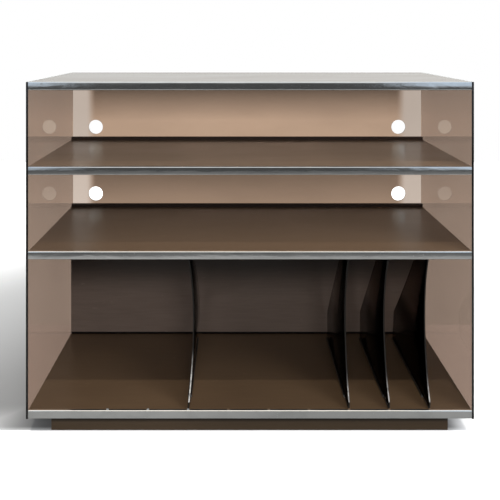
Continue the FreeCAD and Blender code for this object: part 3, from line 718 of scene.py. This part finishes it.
def make_world():
    """Even studio surroundings. Straight views and glass see white. Gloss sees white behind
    the cabinet, a bright softbox above it, a dim room in front and a bluish window on either
    side, the brighter one on the right. Dull surfaces get more light from above than from the
    horizon."""
    world = bpy.data.worlds.new("studio")
    bpy.context.scene.world = world
    world.use_nodes = True
    world.node_tree.nodes.clear()
    nodes = Nodes(world.node_tree)
    path, unscattered = nodes.light_path()
    across, along, up = nodes.parts(nodes.add("ShaderNodeTexCoord").outputs["Generated"])
    windows = nodes.product(nodes.remap(up, *WINDOW_SILL, smooth=True),
                            nodes.highest(nodes.remap(across, *WINDOW_LEFT, smooth=True),
                                          nodes.remap(across, *WINDOW_RIGHT, smooth=True)))
    mirrored = nodes.highest(nodes.remap(along, *ROOM_BEHIND, smooth=True),
                             nodes.remap(up, *ROOM_ABOVE, smooth=True), windows)
    glass = nodes.product(path["Is Transmission Ray"], unscattered)
    dull = nodes.rest(path["Is Glossy Ray"])
    strength = nodes.highest(path["Is Camera Ray"], glass,
                             nodes.product(path["Is Glossy Ray"], mirrored),
                             nodes.product(dull, nodes.remap(up, *ROOM_AMBIENT, smooth=True)))
    bluish = nodes.product(path["Is Glossy Ray"], windows)
    background = nodes.add("ShaderNodeBackground")
    nodes.link(nodes.blend(bluish, WHITE, WINDOW_BLUE), background.inputs["Color"])
    nodes.link(strength, background.inputs["Strength"])
    output = nodes.add("ShaderNodeOutputWorld")
    nodes.link(background.outputs["Background"], output.inputs["Surface"])


def stage_plane(name, corners, surface):
    """A flat piece of the stage through the given corners."""
    mesh = bpy.data.meshes.new(name)
    mesh.from_pydata(corners, [], [(0, 1, 2, 3)])
    mesh.materials.append(surface.material)
    item = new_item(name, mesh)
    return item


def floor_shade(surface, across, along):
    """How dark the floor's drawn shade is: soft to the left of the cabinet, where it fades
    forwards, backwards and with the distance, and deep under the cabinet and a little beyond
    the plinth's two ends."""
    beside = surface.product(
        surface.remap(across, LEFT - 0.75, LEFT, 0.0, 0.66, smooth=True),
        surface.remap(across, LEFT, 0.0, 1.0, 0.0),
        surface.remap(along, -0.20, -0.05, 0.0, 1.0, smooth=True),
        surface.remap(along, -0.1, 1.1, 1.0, 0.0, smooth=True))
    left_end = surface.product(
        surface.combine("LESS_THAN", across, 0.0),
        surface.remap(across, PLINTH_LOW.x - 0.235, PLINTH_LOW.x, 0.0, 0.93, smooth=True))
    right_end = surface.product(
        surface.combine("GREATER_THAN", across, 0.0),
        surface.remap(across, PLINTH_HIGH.x, PLINTH_HIGH.x + 0.065, 0.80, 0.0, smooth=True))
    under = surface.product(
        surface.highest(left_end, right_end),
        surface.remap(along, PLINTH_LOW.y - 10 * MM, PLINTH_LOW.y + 15 * MM, 0.0, 1.0,
                      smooth=True),
        surface.remap(along, 0.0, 0.18, 1.0, 0.0, smooth=True))
    return surface.highest(beside, under)


def floor_glow(surface, along):
    """How much light of its own the floor shows to the camera, to be white: all in front of
    the plinth and far from the cabinet, and next to none in its shadow."""
    away = surface.add("ShaderNodeVectorMath", operation="LENGTH")
    surface.link(surface.place, away.inputs[0])
    far = surface.remap(away.outputs["Value"], 1.0, 1.85, 0.04, 1.0, smooth=True)
    in_front = surface.remap(along, PLINTH_LOW.y - 5 * MM, PLINTH_LOW.y - 1 * MM, 1.0, 0.0,
                             smooth=True)
    return surface.highest(far, in_front)


def make_floor():
    """Plain pale floor that shows white to the camera and keeps the cabinet's shadow, with a
    painted shadow added that is deepest on the left, away from the soft lamp. Glass sees it as
    white as the wall, and gloss sees it darken to the right and fade into the dim room in front."""
    surface = Surface("floor", Roughness=0.9, Specular_IOR_Level=0.1)
    surface.shader.inputs["Emission Color"].default_value = with_alpha(WHITE)
    surface.bump(surface.noise(180.0), 0.1 * MM)
    path, unscattered = surface.light_path()
    glass = surface.product(path["Is Transmission Ray"], unscattered)
    across, along, _ = surface.parts(surface.place)
    fade = surface.remap(along, -1.8, -0.8, 0.85, 0.0, smooth=True)
    sideways = surface.remap(across, -0.30, 0.15, 0.0, 1.0, smooth=True)
    mirrored = surface.blend(fade, surface.blend(sideways, FLOOR_LEFT, FLOOR_RIGHT), FLOOR_FAR)
    dull = surface.blend(path["Is Diffuse Ray"], mirrored, FLOOR_DULL)
    # Painted shadow beside and under the cabinet
    shaded = surface.blend(floor_shade(surface, across, along), FLOOR_WHITE, BLACK)
    shown = surface.blend(path["Is Camera Ray"], dull, shaded)
    surface.drive("Base Color", surface.blend(glass, shown, FLOOR_BEYOND))
    surface.drive("Emission Strength", surface.highest(
        surface.product(path["Is Camera Ray"], floor_glow(surface, along)),
        surface.product(glass, 1.1)))
    half, front, rear = 3.0, FRONT - 4.0, REAR + 3.0
    stage_plane("floor", [(-half, front, 0), (half, front, 0), (half, rear, 0),
                          (-half, rear, 0)], surface)


def open_wall_light(surface, across, up, over):
    """Strength of the wall's light beside the cabinet, where it is weaker further up, further
    to the right and further out, and above it, where it is even."""
    beside = surface.product(
        surface.remap(up, 0.30, 0.68, 1.12, 0.87),
        surface.remap(across, LEFT, RIGHT, 1.0, 0.90),
        surface.remap(surface.unsigned(across), RIGHT + 40 * MM, RIGHT + 100 * MM, 1.10, 0.96,
                      smooth=True))
    return surface.highest(beside, surface.product(over, 1.08))


def bay_light(surface, up):
    """Strength of the wall's light behind the back sheet, faintly streaked: it falls off
    upwards in each of the two compartments."""
    in_top = surface.combine("GREATER_THAN", up, BAY_SPLIT)
    top = surface.product(in_top, surface.remap(up, *TOP_BAY_LIGHT))
    middle = surface.product(surface.rest(in_top), surface.remap(up, *MIDDLE_BAY_LIGHT))
    streaks = surface.remap(surface.noise(9.0, detail=3.0, stretch=(0.35, 1, 1)),
                            0.3, 0.7, 0.92, 1.06)
    return surface.product(surface.combine("ADD", top, middle), streaks)


def make_wall():
    """Pale wall close behind the cabinet. Only glass and gloss see it, so that it tints the
    back as the photograph shows and hides nothing from other sides. The lamps' light doesn't
    pass acrylic here, so the wall's light is its own: white beside the cabinet and above it,
    and behind it the warm light that has come in at the front and out through the back sheet,
    less of it under each board."""
    surface = Surface("wall", Roughness=0.9, Specular_IOR_Level=0.1)
    surface.drive("Base Color", surface.blend(surface.noise(2.0), WALL_DARK, WALL_GREY))
    across, _, up = surface.parts(surface.place)
    beside = surface.remap(surface.unsigned(across), RIGHT - 30 * MM, RIGHT + 2 * MM, 0.0, 1.0,
                           smooth=True)
    over = surface.remap(up, TOP_CEILING - 23 * MM, TOP_CEILING + 7 * MM, 0.0, 1.0, smooth=True)
    is_open = surface.highest(beside, over)
    strength = surface.combine(
        "ADD", surface.product(is_open, open_wall_light(surface, across, up, over)),
        surface.product(surface.rest(is_open), bay_light(surface, up)))
    _, unscattered = surface.light_path()
    surface.drive("Emission Color", surface.blend(is_open, WALL_WARM, WALL_WHITE))
    surface.drive("Emission Strength", surface.product(strength, unscattered))
    half, rear, height = 2.5, REAR + WALL_GAP, 2.4
    wall = stage_plane("wall", [(-half, rear, 0), (half, rear, 0), (half, rear, height),
                                (-half, rear, height)], surface)
    wall.visible_camera = False
    wall.visible_diffuse = False
    wall.visible_shadow = False


dress_cad_nodes()
record_dividers()
divider_shoes()
cross_screws("back_sheet_screws", "back_screws", axis=1, head_end=1, crown=2 * MM, cone=0.0)
cross_screws("plinth_screws", "block_screws", axis=2, head_end=-1, crown=0.0, cone=2 * MM)
make_camera()
make_lights()
make_world()
make_floor()
make_wall()
bpy.context.scene.view_settings.view_transform = "Standard"
